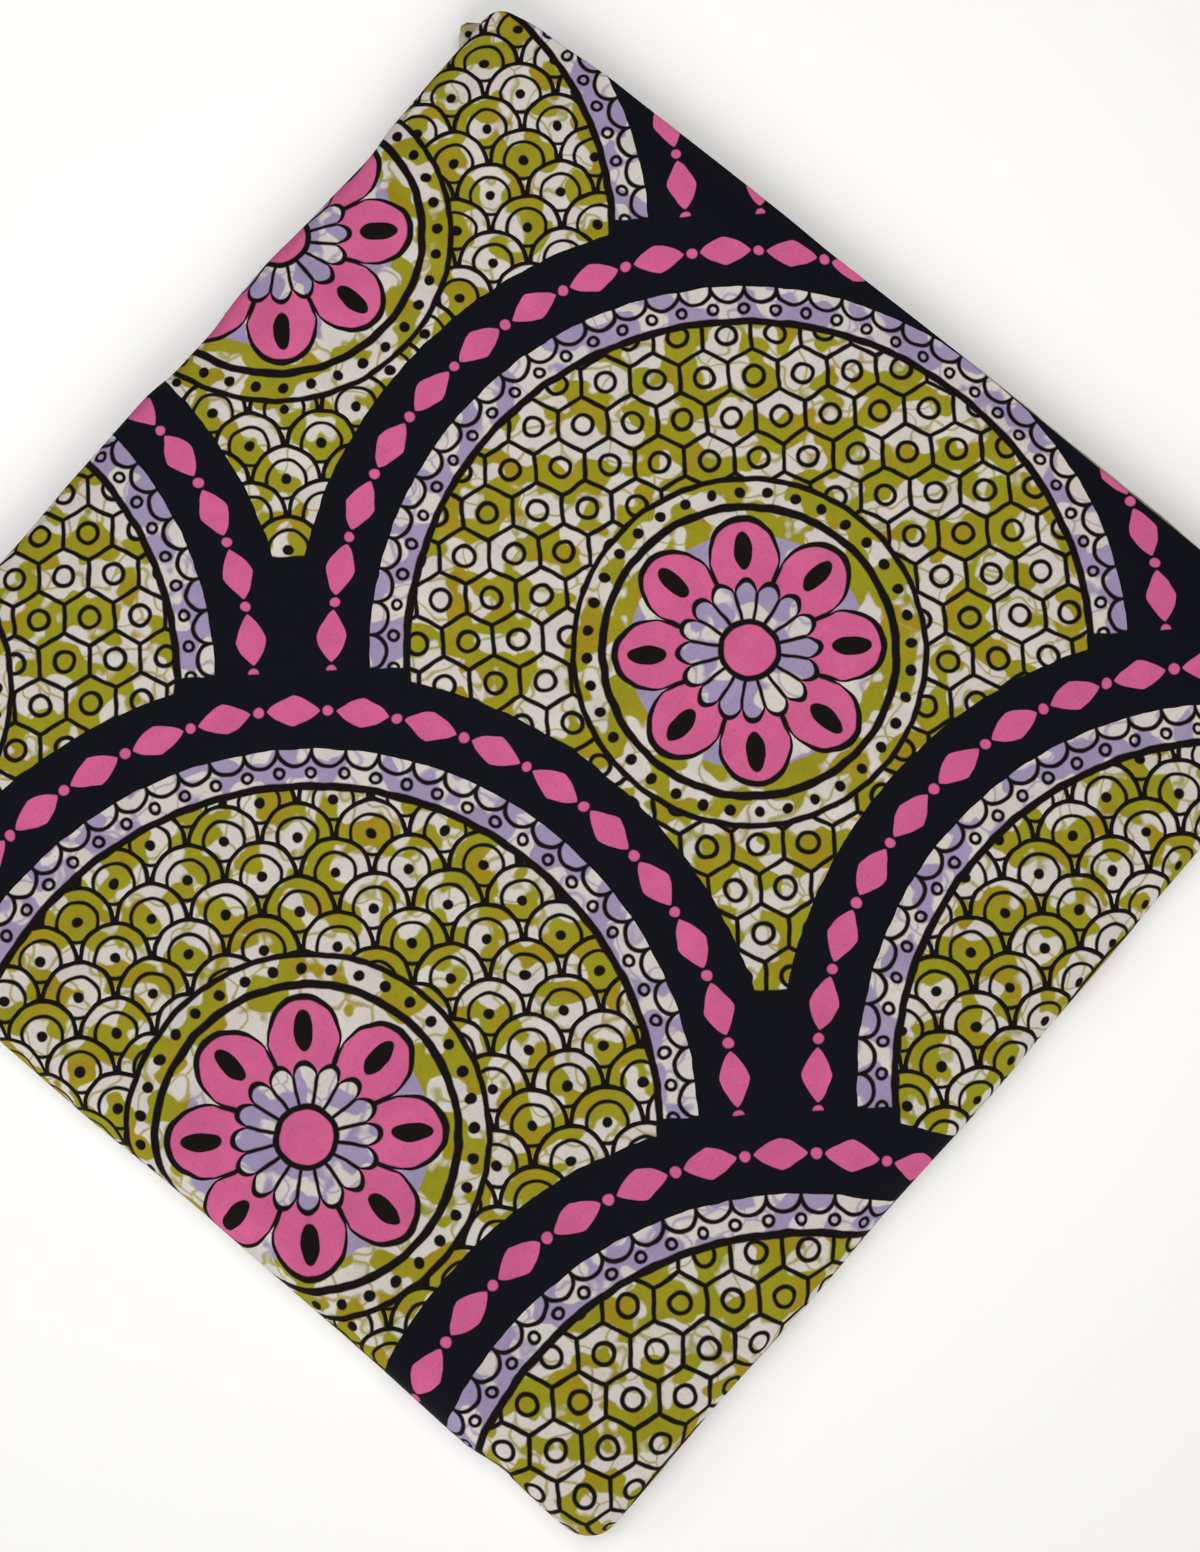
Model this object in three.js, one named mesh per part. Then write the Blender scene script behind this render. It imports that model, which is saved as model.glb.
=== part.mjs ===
// Wax print cotton, one uncut length, folded into a flat square parcel and laid down.
//
// The length is doubled across its width, rolled flat over and over into leaves about
// 282 mm long, and closed once more like a book. The spine of the book is at the front,
// the open edges are at the back, and the rounded ends of the roll are at the left and
// right. At the right both halves bend as one, so that end is as round as the spine.
// Millimetres, +X along the leaves, +Y from the spine to the open side, +Z up.

import * as THREE from 'three';

// Driving sizes
const PLY = 1.0;                              // wall of one stretch of cloth
const GAP = 0.3;                              // between stretches that lie on each other
const HALF = 7.7;                             // thickness of each half of the book
const CREASE = PLY + 2 * GAP;                 // between the halves, where one leaf lies
const END_RADIUS = HALF / 2;                  // rounded ends of the roll
const MID_RADIUS = (CREASE + HALF) / 2;       // from the spine's centre to a half's middle
const SPINE_RADIUS = MID_RADIUS + END_RADIUS; // rounded spine, outside
const [FRONT_Y, BACK_Y] = [-147, 149];        // the spine and the open side, about
const CORNER_RADIUS = 6;                      // the parcel's corners, from above
const ROUND_CORNER = 1;                       // and where both edges are round anyway
const LAP_STEP = PLY + GAP;                   // how far a stretch drops below the next one
const LAP_REACH = 0.13;                       // share of the leaf over which it drops
const BACK_DROP = 1.1;                        // the open side lies lower than the spine,
const BACK_DROP_FROM = -90;                   // easing down from here
const SHOULDER_DROP = 0.7;                    // the top eases down towards each edge
const SHOULDER_REACH = 22;
const RIGHT_DROP = 1.4;                       // and some more towards the right end
const RIGHT_REACH = 17;
const WALL_FOLD = 0.9;                        // tight turns at the right end: the wall's,
const LAYERS_FOLD = 0.8;                      // and the hidden layers'
const LEFT_FULLNESS = 0.9;                    // the hidden layers' rounding inside the lap
const LEAF_FRONT = -127;                      // the loose leaf's front corners
const LEAF_CORNER = 4;                        // and how far they are cut off
const LEAF_SIDE = 1.4;                        // how far its sides lie inside the ends
const LEAF_BACK = 140;                        // where its right side ends
const [UPPER_STEPS, SPINE_STEPS, LOWER_STEPS, TOP_STEPS] = [14, 10, 8, 12];  // facets

const CLOTH = { olive: 0x918c30, pink: 0xc05c89, cream: 0xcbc3bd };

// The parcel's outline from above: a row for each place where an edge changes its run.
const BACK_EDGE = [
  { x: -141, y: 145.7 }, { x: -126, y: 147.4 }, { x: -102, y: 148.8 }, { x: -54, y: 149.2 },
  { x: 18, y: 149.9 }, { x: 78, y: 149.2 }, { x: 147, y: 148.0 },
];
const FRONT_EDGE = [
  { x: -141, y: -147.9 }, { x: -34, y: -147.8 }, { x: 10, y: -146.8 }, { x: 62, y: -146.4 },
  { x: 97, y: -146.8 }, { x: 108, y: -145.5 }, { x: 124, y: -146.0 }, { x: 138, y: -145.5 },
];
const LEFT_EDGE = [
  { y: -148, x: -140.4 }, { y: -50, x: -140.4 }, { y: -24, x: -141.1 }, { y: 2, x: -141.3 },
  { y: 14, x: -139.9 }, { y: 26, x: -139.8 }, { y: 40, x: -141.0 }, { y: 50, x: -141.3 },
  { y: 70, x: -140.4 }, { y: 90, x: -139.8 }, { y: 103, x: -141.0 }, { y: 120, x: -141.4 },
  { y: 149, x: -142.1 },
];
const RIGHT_EDGE = [
  { y: -146, x: 138.3 }, { y: -113, x: 139.1 }, { y: -48, x: 141.7 }, { y: 17, x: 144.4 },
  { y: 60, x: 145.5 }, { y: 149, x: 148.2 },
];

// Soft swells of the top, each a round rise or hollow that fades over its reach.
const SWELLS = [
  { x: -62, y: 38, rise: 0.55, reach: 62 }, { x: 74, y: -58, rise: 0.5, reach: 55 },
  { x: 34, y: 96, rise: -0.45, reach: 44 }, { x: -88, y: -92, rise: -0.35, reach: 50 },
  { x: 112, y: 60, rise: 0.3, reach: 36 }, { x: 108, y: -141, rise: -0.6, reach: 12 },
];

// Ends of the hidden layers at the open side: how large each layer's loop is, as a share
// of the outermost, and how far it stands out of the loop around it.
const FIRST_LAYER_INSIDE = -1;
const LAYER_ENDS = [
  { size: 1.0, out: -0.6 }, { size: 0.8, out: 0.9 }, { size: 0.58, out: -1.1 },
  { size: 0.36, out: 0.7 }, { size: 0.16, out: -0.5 },
];

// The leaf between the halves: where its unprinted selvedge shows at the back, and the
// corner that is turned out at the left end of the back.
const SELVEDGE_PEEK = [
  { x: -142, out: -1.2 }, { x: -52, out: -0.6 }, { x: -34, out: 1.2 }, { x: 30, out: 2.3 },
  { x: 70, out: 2.6 }, { x: 146, out: 1.6 },
];
const TURNED_CORNER = [
  { x: -142.6, y: 131.6 }, { x: -144.9, y: 134.6 }, { x: -146.1, y: 136.6 },
  { x: -145.7, y: 138.5 }, { x: -144.4, y: 140.2 }, { x: -141.8, y: 141.6 },
];

const { sin, cos, sqrt, exp, atan2, PI } = Math;
const { lerp, smoothstep, degToRad, radToDeg } = THREE.MathUtils;

// A smooth run through a table's rows: `read` is the column wanted at `at` in column `by`.
function along(table, by, read, at) {
  const next = table.findIndex((row) => row[by] > at);
  if (next === 0) return table[0][read];
  if (next < 0) return table[table.length - 1][read];
  const [a, b] = [table[next - 1], table[next]];
  return lerp(a[read], b[read], smoothstep(at, a[by], b[by]));
}

// How far a rounded corner of the outline lies inside the square one.
function cornerInset(fromSide, radius = CORNER_RADIUS) {
  const inside = Math.max(0, radius - Math.max(0, fromSide));
  return radius - sqrt(radius ** 2 - inside ** 2);
}

const leftEdge = (y) => along(LEFT_EDGE, 'y', 'x', y);
const rightEdge = (y) => along(RIGHT_EDGE, 'y', 'x', y);
const fromSides = (x, y) => Math.min(x - leftEdge(y), rightEdge(y) - x);
const backEdge = (x) => along(BACK_EDGE, 'x', 'y', x) - cornerInset(fromSides(x, BACK_Y));
const frontEdge = (x) => along(FRONT_EDGE, 'x', 'y', x) + Math.max(
  cornerInset(x - leftEdge(FRONT_Y)), cornerInset(rightEdge(FRONT_Y) - x, ROUND_CORNER));

// How much the top is raised or lowered at a place, as seen from above.
function topChange(x, y) {
  let change = 0;
  for (const s of SWELLS) {
    change += s.rise * exp(-((x - s.x) ** 2 + (y - s.y) ** 2) / s.reach ** 2);
  }
  change -= BACK_DROP * smoothstep(y, BACK_DROP_FROM, BACK_Y);
  change -= RIGHT_DROP * (1 - smoothstep(rightEdge(y) - x, 0, RIGHT_REACH)) ** 2;
  const nearest = Math.min(fromSides(x, y), y - frontEdge(x), backEdge(x) - y);
  return change - SHOULDER_DROP * (1 - smoothstep(nearest, 0, SHOULDER_REACH)) ** 2;
}

// A point of the folded stack. `across` runs from 0 at the left end's centre to 1 at the
// right end's, `off` adds millimetres, `out` is the distance from the half's middle plane
// towards the outside, and `stop` says how far round the book fold the point lies.
function place({ across, off, out }, stop) {
  const xAt = (y) => lerp(leftEdge(y) + END_RADIUS, rightEdge(y) - END_RADIUS, across) + off;
  const spineY = frontEdge(xAt(FRONT_Y)) + SPINE_RADIUS;
  const radius = MID_RADIUS + out;
  const turn = stop.turn ?? (stop.half === 'upper' ? 0 : PI);
  const y = stop.turn === undefined
    ? lerp(spineY, backEdge(xAt(BACK_Y)) + stop.beyond, stop.share)
    : spineY - radius * sin(turn);
  const x = xAt(y);
  const z = radius * cos(turn);
  const raised = Math.max(0, z - CREASE / 2) * (topChange(x, y) / HALF);
  return new THREE.Vector3(x, y, z + raised + SPINE_RADIUS);
}

// Steps from 0 to 1 that are closer together at both ends.
const eased = (k, n) => (1 - cos((PI * k) / n)) / 2;

// Stops along the book fold, from the upper half's open edge round the spine to the
// lower half's. `ends` are the extra loops at each open edge, outermost first.
function bookStops(ends) {
  const stops = [];
  for (const end of ends.toReversed()) stops.push({ half: 'upper', share: 1, ...end });
  for (let k = 1; k < UPPER_STEPS; k += 1) {
    stops.push({ half: 'upper', share: 1 - eased(k, UPPER_STEPS), beyond: 0, size: 1 });
  }
  for (let k = 0; k <= SPINE_STEPS; k += 1) stops.push({ turn: (PI * k) / SPINE_STEPS, size: 1 });
  for (let k = 1; k < LOWER_STEPS; k += 1) {
    stops.push({ half: 'lower', share: eased(k, LOWER_STEPS), beyond: 0, size: 1 });
  }
  for (const end of ends) stops.push({ half: 'lower', share: 1, ...end });
  return stops;
}

// A closed solid from loops of equal length, each an outer chain and an inner chain
// back. Neighbouring loops are joined, and both ends are closed between the chains.
function loopSolid(section, stops) {
  const chain = section.outer.length;
  const loop = [...section.outer, ...section.inner.toReversed()];
  const points = [];
  const faces = [];
  for (const stop of stops) {
    for (const p of loop) {
      const { across, off, out } = p;
      points.push(place({ across, off: off * stop.size, out: out * stop.size }, stop));
    }
  }
  const n = loop.length;
  for (let s = 0; s + 1 < stops.length; s += 1) {
    for (let i = 0; i < n; i += 1) {
      const [a, b] = [s * n + i, s * n + ((i + 1) % n)];
      faces.push(a, a + n, b, b, a + n, b + n);
    }
  }
  const last = (stops.length - 1) * n;
  for (let i = 0; i + 1 < chain; i += 1) {
    const [a, b, c, d] = [i, i + 1, n - 1 - i, n - 2 - i];
    faces.push(a, b, c, b, d, c);
    faces.push(last + a, last + c, last + b, last + b, last + c, last + d);
  }
  const geometry = new THREE.BufferGeometry().setFromPoints(points);
  geometry.setIndex(faces);
  return geometry;
}

// Points on an arc about the left or right end's centre, angles in degrees. `width` is
// its reach towards that end, where that isn't its radius.
function arc(across, radius, from, to, steps, width = radius) {
  return Array.from({ length: steps + 1 }, (_, k) => {
    const angle = degToRad(lerp(from, to, k / steps));
    return { across, off: width * cos(angle), out: radius * sin(angle) };
  });
}

// The right end at a depth inside the surface: a wide curve about the parcel's middle
// plane, and a tight one that turns back along the crease.
function rightCurves(depth, fold) {
  const wide = SPINE_RADIUS - depth;
  const rise = MID_RADIUS - END_RADIUS + depth + fold;
  const reach = sqrt((wide - fold) ** 2 - rise ** 2);
  return { wide, reach, meet: radToDeg(atan2(rise, reach)), foldOut: rise - MID_RADIUS };
}

const wallEnd = rightCurves(PLY / 2, WALL_FOLD);
const ROUND_CENTRE = END_RADIUS - PLY / 2 - WALL_FOLD - wallEnd.reach;

const wideCurve = ({ wide, meet }) => arc(1, wide, 90, meet, 7).map((p) => (
  { ...p, off: p.off + ROUND_CENTRE, out: p.out - MID_RADIUS }));
const foldCurve = ({ reach, foldOut }, fold, from, to, steps) => arc(1, fold, from, to, steps)
  .map((p) => ({ ...p, off: p.off + ROUND_CENTRE + reach, out: p.out + foldOut }));

// Points between the two ends' centres, closer together towards the ends, at a height
// that may change on the way.
function flat(from, to, steps, height) {
  return Array.from({ length: steps - 1 }, (_, k) => {
    const across = lerp(from, to, eased(k + 1, steps));
    return { across, off: 0, out: height(across) };
  });
}

// Height of the crease side, which drops towards the left end to pass under the start.
function creaseSide(high, low) {
  return (across) => -lerp(low, high, smoothstep(across, 0, LAP_REACH));
}

// The last stretch of the roll: it starts with its cut edge at the left end, runs over
// the outside, round the right end and back along the crease, and ends under its start.
function outerSection() {
  const radius = END_RADIUS - PLY / 2;
  const lapped = radius - LAP_STEP;
  const middle = [
    ...arc(0, radius, 190, 90, 6), ...flat(0, 1, TOP_STEPS, () => radius),
    ...wideCurve(wallEnd), ...foldCurve(wallEnd, WALL_FOLD, wallEnd.meet, -90, 4).slice(1),
    ...flat(1, 0, TOP_STEPS, creaseSide(radius, lapped)),
    ...arc(0, lapped, 270, 165, 5),
  ];
  const width = rightEdge(0) - leftEdge(0) - 2 * END_RADIUS;
  const flatX = (p) => p.across * width + p.off;
  const side = (distance) => middle.map((p, i) => {
    const before = middle[Math.max(0, i - 1)];
    const after = middle[Math.min(middle.length - 1, i + 1)];
    const run = new THREE.Vector2(flatX(after) - flatX(before), after.out - before.out);
    run.normalize();
    return { across: p.across, off: p.off - run.y * distance, out: p.out + run.x * distance };
  });
  return { outer: side(PLY / 2), inner: side(-PLY / 2) };
}

// Everything rolled up inside it: one rounded section, clear of the wall all round.
function innerSection() {
  const height = END_RADIUS - PLY - GAP;
  const low = height - LAP_STEP;
  const end = rightCurves(PLY + GAP, LAYERS_FOLD);
  return {
    outer: [
      ...arc(0, height, 170, 90, 4, LEFT_FULLNESS), ...flat(0, 1, TOP_STEPS, () => height),
      ...wideCurve(end),
    ],
    inner: [
      ...arc(0, low, 190, 270, 4, LEFT_FULLNESS),
      ...flat(0, 1, TOP_STEPS, creaseSide(height, low)),
      ...foldCurve(end, LAYERS_FOLD, -90, 0, 7),
    ],
  };
}

// The leaf that lies loose between the halves, from above.
function selvedgeShape() {
  const stepsOf = (from, to, n) => Array.from({ length: n + 1 }, (_, k) => lerp(from, to, k / n));
  const corner = TURNED_CORNER.length - 1;
  const back = stepsOf(TURNED_CORNER[corner].x, rightEdge(LEAF_BACK) - LEAF_CORNER, 17).slice(1);
  const [left, right] = [leftEdge(LEAF_FRONT) + LEAF_CORNER, rightEdge(LEAF_FRONT) - LEAF_CORNER];
  const outline = [];
  for (const y of stepsOf(LEAF_FRONT, TURNED_CORNER[0].y - LEAF_CORNER, 9)) {
    outline.push([leftEdge(y) + LEAF_SIDE, y]);
  }
  for (const { x, y } of TURNED_CORNER) outline.push([x, y]);
  for (const x of back) outline.push([x, backEdge(x) + along(SELVEDGE_PEEK, 'x', 'out', x)]);
  for (const y of stepsOf(LEAF_BACK, LEAF_FRONT, 9)) outline.push([rightEdge(y) - LEAF_SIDE, y]);
  for (const x of stepsOf(right, left, 8)) {
    outline.push([x, frontEdge(x) + SPINE_RADIUS + LEAF_CORNER]);
  }
  return new THREE.Shape(outline.map(([x, y]) => new THREE.Vector2(x, y)));
}

// Pieces

const parcel = new THREE.Group();

function addPiece(name, geometry, color) {
  geometry.computeVertexNormals();
  const material = new THREE.MeshStandardMaterial({
    color, roughness: 0.82, metalness: 0, side: THREE.FrontSide,
  });
  const mesh = new THREE.Mesh(geometry, material);
  mesh.name = name;
  parcel.add(mesh);
  return mesh;
}

const plainEnd = [{ beyond: 0, size: 1 }];
addPiece('outer_leaf', loopSolid(outerSection(), bookStops(plainEnd)), CLOTH.olive);

const layerEnds = [];
let beyond = FIRST_LAYER_INSIDE;
for (const layer of LAYER_ENDS) {
  layerEnds.push({ beyond, size: layer.size });
  beyond += layer.out;
  layerEnds.push({ beyond, size: layer.size });
}
addPiece('inner_leaves', loopSolid(innerSection(), bookStops(layerEnds)), CLOTH.pink);

const selvedge = new THREE.ExtrudeGeometry(selvedgeShape(), { depth: PLY, bevelEnabled: false });
const leaf = addPiece('selvedge_leaf', selvedge, CLOTH.cream);
leaf.position.z = SPINE_RADIUS - PLY / 2;

// The origin is under the middle of the parcel, on the surface that it lies on.
const box = new THREE.Box3().setFromObject(parcel);
const middle = box.getCenter(new THREE.Vector3());
parcel.position.set(-middle.x, -middle.y, -box.min.z);

export default parcel;
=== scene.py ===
# %% [markdown]
# # A folded parcel of wax print cotton
#
# One long piece of printed cotton has been doubled across its width, rolled flat over and
# over, and closed once more like a book. This lesson dresses the three plain solids of the
# frame as cloth: a thin outer leaf with its creases, the stack of plies that shows at the
# open side, the cream selvedge leaf between the two halves, and the loose threads of the
# cut edge. The print itself is drawn by shader nodes on the cloth's own flat coordinates,
# so that it runs on over every fold. Sizes are in millimetres until they become a mesh.

# %% Load the frame
import math

import bpy
import numpy as np
from mathutils import Matrix, Vector


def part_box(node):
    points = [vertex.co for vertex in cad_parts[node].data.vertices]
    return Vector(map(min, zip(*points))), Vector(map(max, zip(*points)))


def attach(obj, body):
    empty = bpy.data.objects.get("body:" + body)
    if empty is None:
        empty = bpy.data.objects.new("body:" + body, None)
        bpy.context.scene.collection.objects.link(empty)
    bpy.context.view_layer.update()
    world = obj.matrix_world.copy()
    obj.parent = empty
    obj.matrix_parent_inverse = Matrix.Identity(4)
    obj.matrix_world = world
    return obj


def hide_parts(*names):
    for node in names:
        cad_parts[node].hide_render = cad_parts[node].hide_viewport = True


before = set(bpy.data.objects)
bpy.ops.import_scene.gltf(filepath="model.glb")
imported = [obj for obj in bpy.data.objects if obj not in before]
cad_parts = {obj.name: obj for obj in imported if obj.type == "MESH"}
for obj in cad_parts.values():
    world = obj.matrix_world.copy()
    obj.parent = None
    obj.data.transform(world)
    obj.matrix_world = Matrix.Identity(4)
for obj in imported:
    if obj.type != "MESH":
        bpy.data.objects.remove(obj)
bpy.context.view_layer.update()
MM = 0.001

# %% [markdown]
# ## The parcel's form
#
# All the pieces lie on one form, so its rule is written once. Each half of the book is a
# flat roll with rounded ends. The outline from above is four short tables, one for each
# edge, because a real parcel is never quite square: the right edge leans outwards, the
# left edge wavers where the leaves are not quite in line, and the spine is dented near
# its right end. A smooth run through a few rows reads better than a long list of points.

# %% Outline tables and driving sizes
HALF = 7.7                                # thickness of each half of the book
CREASE = 1.6                              # space between the halves
END_RADIUS = HALF / 2
MID_RADIUS = (CREASE + HALF) / 2
SPINE_RADIUS = MID_RADIUS + END_RADIUS
CORNER_RADIUS = 6.0
ROUND_CORNER = 1.0                        # where both edges are round anyway
BACK_DROP, BACK_DROP_FROM = 1.1, -90.0
SHOULDER_DROP, SHOULDER_REACH = 0.7, 22.0
RIGHT_DROP, RIGHT_REACH = 1.4, 17.0
LEFT_DROP, LEFT_REACH = 1.1, 22.0
FRONT_Y, BACK_Y = -147.0, 149.0           # where the side edges are read at the ends

BACK_EDGE = [(-141, 145.7), (-126, 147.4), (-102, 148.8), (-54, 149.2), (18, 149.9),
             (78, 149.2), (147, 148.0)]
FRONT_EDGE = [(-141, -147.9), (-34, -147.8), (10, -146.8), (62, -146.4), (97, -146.8),
              (108, -145.5), (124, -146.0), (138, -145.5)]
LEFT_EDGE = [(-148, -140.4), (-50, -140.4), (-24, -141.1), (2, -141.3), (14, -139.9),
             (26, -139.8), (40, -141.0), (50, -141.3), (70, -140.4), (90, -139.8),
             (103, -141.0), (120, -141.4), (149, -142.1)]
RIGHT_EDGE = [(-146, 138.3), (-113, 139.1), (-48, 141.7), (17, 144.4), (60, 145.5),
              (149, 148.2)]
SWELLS = [  # soft rises and hollows of the top: x, y, rise, reach
    (-62, 38, 0.55, 62), (74, -58, 0.5, 55), (34, 96, -0.45, 44),
    (-88, -92, -0.35, 50), (112, 60, 0.3, 36), (108, -141, -0.6, 12)]
print(f"halves {HALF} mm thick and {CREASE} mm apart, spine radius {SPINE_RADIUS:.2f} mm")


# %% The outline and the top as functions
def smooth(value, low, high):
    """0 below low, 1 above high and an S between them."""
    t = np.clip((np.asarray(value, float) - low) / (high - low), 0, 1)
    return t * t * (3 - 2 * t)


def along(table, at):
    """A smooth run through a table's rows of (place, value)."""
    places, values = np.array(table, float).T
    row = np.clip(np.searchsorted(places, at, side="right") - 1, 0, len(places) - 2)
    rise = smooth(at, places[row], places[row + 1])
    return values[row] + (values[row + 1] - values[row]) * rise


def corner_inset(from_side, radius=CORNER_RADIUS):
    """How far a rounded corner of the outline lies inside the square one."""
    inside = np.maximum(0, radius - np.maximum(0, from_side))
    return radius - np.sqrt(radius ** 2 - inside ** 2)


def from_sides(x, y):
    return np.minimum(x - along(LEFT_EDGE, y), along(RIGHT_EDGE, y) - x)


def back_edge(x):
    return along(BACK_EDGE, x) - corner_inset(from_sides(x, BACK_Y))


def front_edge(x):
    return along(FRONT_EDGE, x) + np.maximum(
        corner_inset(x - along(LEFT_EDGE, FRONT_Y)),
        corner_inset(along(RIGHT_EDGE, FRONT_Y) - x, ROUND_CORNER))


def top_change(x, y):
    """How much the top is raised or lowered at a place, as seen from above."""
    change = -BACK_DROP * smooth(y, BACK_DROP_FROM, BACK_Y)
    for inside, drop, reach in ((along(RIGHT_EDGE, y) - x, RIGHT_DROP, RIGHT_REACH),
                                (x - along(LEFT_EDGE, y), LEFT_DROP, LEFT_REACH)):
        change = change - drop * (1 - smooth(inside, 0, reach)) ** 2
    for sx, sy, rise, reach in SWELLS:
        change = change + rise * np.exp(-((x - sx) ** 2 + (y - sy) ** 2) / reach ** 2)
    nearest = np.minimum(from_sides(x, y), np.minimum(y - front_edge(x), back_edge(x) - y))
    return change - SHOULDER_DROP * (1 - smooth(nearest, 0, SHOULDER_REACH)) ** 2


print("outline at the middle, left, right, front and back in mm:", [
    round(float(at), 1) for at in (along(LEFT_EDGE, 0), along(RIGHT_EDGE, 0),
                                   front_edge(0), back_edge(0))])

# %% [markdown]
# ## Placing a point of the fold
#
# A point on the roll is given by three numbers: how far across it lies between the
# centres of the two rounded ends, how many millimetres it is off that line, and how far
# out it is from the middle of its half. A stop along the book fold adds two more: the
# share of the way to the open side, and the turn round the spine. The same rule also
# gives each point's place on the flat cloth, which becomes the UV map of the print.

# %% Place points on the folded form
def spread(count, evenness=0.55):
    """Steps from 0 to 1, closer together at both ends."""
    t = np.linspace(0, 1, count + 1)
    return t - (1 - evenness) * np.sin(2 * np.pi * t) / (2 * np.pi)


def place(across, off, out, share, turn, beyond=0):
    """Points in millimetres, and how far along the book fold each is on the flat cloth."""
    def x_at(y):
        left, right = along(LEFT_EDGE, y) + END_RADIUS, along(RIGHT_EDGE, y) - END_RADIUS
        return left + (right - left) * across + off

    front_x = x_at(FRONT_Y + 0 * across)
    spine_y = front_edge(front_x) + SPINE_RADIUS
    reach = share * (back_edge(x_at(BACK_Y + 0 * across)) - spine_y) + beyond
    radius = MID_RADIUS + out
    y = spine_y + reach - radius * np.sin(turn)
    x = x_at(y)
    z = radius * np.cos(turn)
    z = z + np.maximum(0, z - CREASE / 2) * top_change(x, y) / HALF + SPINE_RADIUS
    corner = front_edge(front_x) - along(FRONT_EDGE, front_x)
    flat_v = (spine_y - corner * 2 * turn / np.pi - SPINE_RADIUS * turn
              + np.where(turn > np.pi / 2, -reach, reach))
    return np.stack([x, y, z], axis=-1), flat_v


def flat_u(base, extra, y):
    """Place along the leaf on the flat cloth: base runs on past 1 where the leaf turns."""
    left, right = along(LEFT_EDGE, y) + END_RADIUS, along(RIGHT_EDGE, y) - END_RADIUS
    return left + (right - left) * base + extra


def book_stops(upper, spine, lower, rim=0.001):
    """Share and turn of each stop, from the upper open edge round to the lower one."""
    up, down = 1 - spread(upper), spread(lower)
    share = np.r_[1, 1 - rim, up[1:-1], np.zeros(spine + 1), down[1:-1], 1 - rim, 1]
    turn = np.r_[np.zeros(upper + 1), np.linspace(0, np.pi, spine + 1),
                 np.full(lower + 1, np.pi)]
    return share[:, None], turn[:, None]


top_middle, _ = place(0.5, 0, END_RADIUS, 0.5, 0)
print("middle of the top in mm, before the creases:", top_middle.round(1))

# %% [markdown]
# ## Making a shell
#
# Cloth is a sheet with a thickness, so each piece is a closed shell: the outer points,
# the same points moved inwards along their normals, and a strip that closes the rim.
# Building it from a grid keeps the faces square and lets the flat cloth's coordinates be
# stored as a UV map on every corner. The map is in metres, so that the print can be
# drawn at its real size.

# %% Turn grids into meshes
UV_NAME = "cloth"


def in_scene(name, data):
    """An object with its data, linked to the scene."""
    made = bpy.data.objects.new(name, data)
    bpy.context.scene.collection.objects.link(made)
    return made


def grid_normals(points):
    """Normals of a grid of points, from its neighbours on both sides."""
    along_rows = np.gradient(points, axis=0)
    along_columns = np.gradient(points, axis=1)
    normal = np.cross(along_columns, along_rows)
    return normal / np.maximum(np.linalg.norm(normal, axis=-1, keepdims=True), 1e-12)


def mesh_object(name, points, faces, uv, extras=None):
    """A mesh from points in millimetres, with its flat coordinates on each corner."""
    points = points * MM
    a, b, c, d = (points[faces[:, corner]] for corner in range(4))
    volume = np.einsum("ij,ij->i", a, np.cross(b, c) + np.cross(c, d)).sum()
    if volume < 0:
        faces = faces[:, ::-1]
    mesh = bpy.data.meshes.new(name)
    mesh.from_pydata(points.tolist(), [], faces.tolist())
    layer = mesh.uv_layers.new(name=UV_NAME)
    layer.data.foreach_set("uv", (uv[faces.ravel()] * MM).ravel())
    for key, values in (extras or {}).items():
        kind = "FLOAT_VECTOR" if values.ndim == 2 else "FLOAT"
        field = "vector" if values.ndim == 2 else "value"
        mesh.attributes.new(key, kind, "POINT").data.foreach_set(field, values.ravel())
    mesh.shade_smooth()
    print(f"{name}: {len(faces) * 2} triangles")
    return in_scene(name, mesh)


def shell_faces(rows, columns):
    """Quads of an outer and an inner grid, closed round their four edges."""
    shift = rows * columns
    index = np.arange(shift).reshape(rows, columns)
    outer = np.stack([index[:-1, :-1], index[:-1, 1:], index[1:, 1:], index[1:, :-1]], -1)
    inner = outer[..., ::-1] + shift
    edge = np.r_[index[0, :-1], index[:-1, -1], index[-1, :0:-1], index[:0:-1, 0]]
    following = np.roll(edge, -1)
    rim = np.stack([following, edge, edge + shift, following + shift], -1)
    return np.concatenate([outer.reshape(-1, 4), inner.reshape(-1, 4), rim])


print("a shell on a grid of 3 x 4 points has", len(shell_faces(3, 4)), "faces")
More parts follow.
